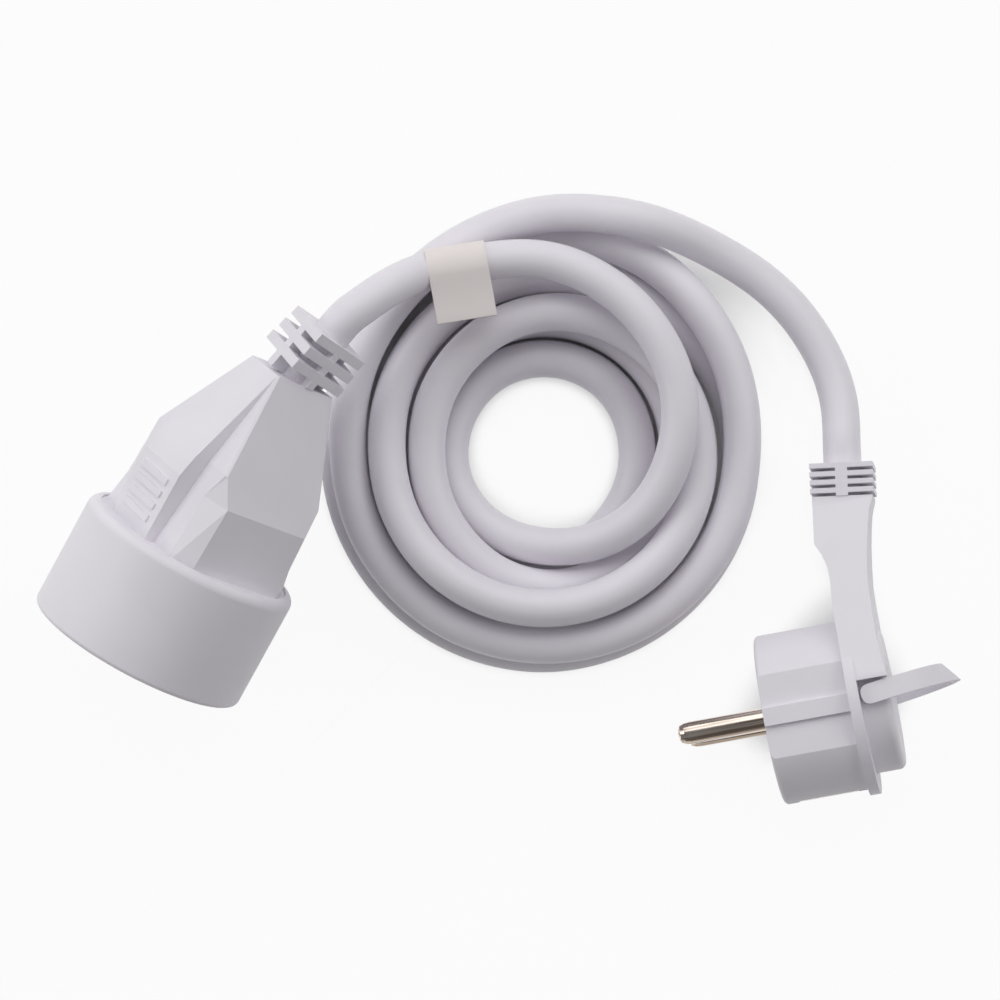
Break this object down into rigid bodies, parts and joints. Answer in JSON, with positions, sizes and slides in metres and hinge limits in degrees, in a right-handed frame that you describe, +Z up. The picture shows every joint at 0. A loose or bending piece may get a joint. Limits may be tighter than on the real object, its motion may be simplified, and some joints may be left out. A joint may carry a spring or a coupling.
{
  "type": "extension cord",
  "caption": "Domestic extension cord with an angled two-pin plug, a folding pull ring, and a shuttered earthed socket, on a loosely coiled round cord.",
  "frame": {"origin": "on the table, under the middle of the box round the plug and the socket", "axes": "+Z up; +X from the socket to the plug; +Y towards the side where the cord's loops lie beyond the plug and the socket"},
  "size_m": [0.1974, 0.1316, 0.0513],
  "materials": {
    "socket_plastic": "moulded white PVC, satin",
    "plug_plastic": "moulded white PVC, satin",
    "carrier_plastic": "moulded, matte",
    "cord_sheath": "extruded white PVC, satin",
    "nickel_plate": "nickel plated, lightly scuffed",
    "contact_brass": "stamped, bare",
    "spring_steel": "drawn wire",
    "core_brown": "extruded insulation",
    "core_blue": "extruded insulation",
    "core_green": "extruded insulation, green with yellow",
    "label_paper": "coated paper, matte"
  },
  "bodies": {
    "cord_set": {"socket_collar": "socket_plastic", "socket_grip": "socket_plastic", "socket_strain_relief": "socket_plastic", "socket_face": "socket_plastic", "socket_contact_carrier": "carrier_plastic", "socket_earth_pin": "nickel_plate", "socket_line_contact": "contact_brass", "socket_neutral_contact": "contact_brass", "socket_earth_strap": "contact_brass", "socket_shutter_spring": "spring_steel", "socket_core_line": "core_brown", "socket_core_neutral": "core_blue", "socket_core_earth": "core_green", "socket_crimps": "contact_brass", "socket_cable_end": "cord_sheath", "plug_body": "plug_plastic", "plug_back_cover": "plug_plastic", "plug_strain_relief": "plug_plastic", "plug_pin_line": "nickel_plate", "plug_pin_neutral": "nickel_plate", "plug_pin_carrier": "carrier_plastic", "plug_earth_bracket": "nickel_plate", "plug_earth_contact": "contact_brass", "pull_ring_pins": "spring_steel", "plug_core_line": "core_brown", "plug_core_neutral": "core_blue", "plug_core_earth": "core_green", "plug_crimps": "contact_brass", "plug_cable_end": "cord_sheath", "cord_coil": "cord_sheath", "cord_socket_lead": "cord_sheath", "cord_plug_lead": "cord_sheath", "cord_label": "label_paper"},
    "ring": {"pull_ring": "plug_plastic"},
    "shutter": {"socket_shutter": "carrier_plastic"}
  },
  "joints": [
    {"name": "ring_hinge", "type": "hinge", "parent": "cord_set", "child": "ring", "pos_m": [0.08059, -0.02996, 0.02024], "axis": [-0.16, 0.1002, 0.982], "range_deg": [-97, 3]},
    {"name": "shutter_slide", "type": "slide", "parent": "cord_set", "child": "shutter", "axis": [-0.6953, 0.2792, 0.6623], "range_m": [0, 0.0058], "stiffness_N_per_m": 100, "springref_m": -0.003, "deforming": ["socket_shutter_spring"]}
  ]
}
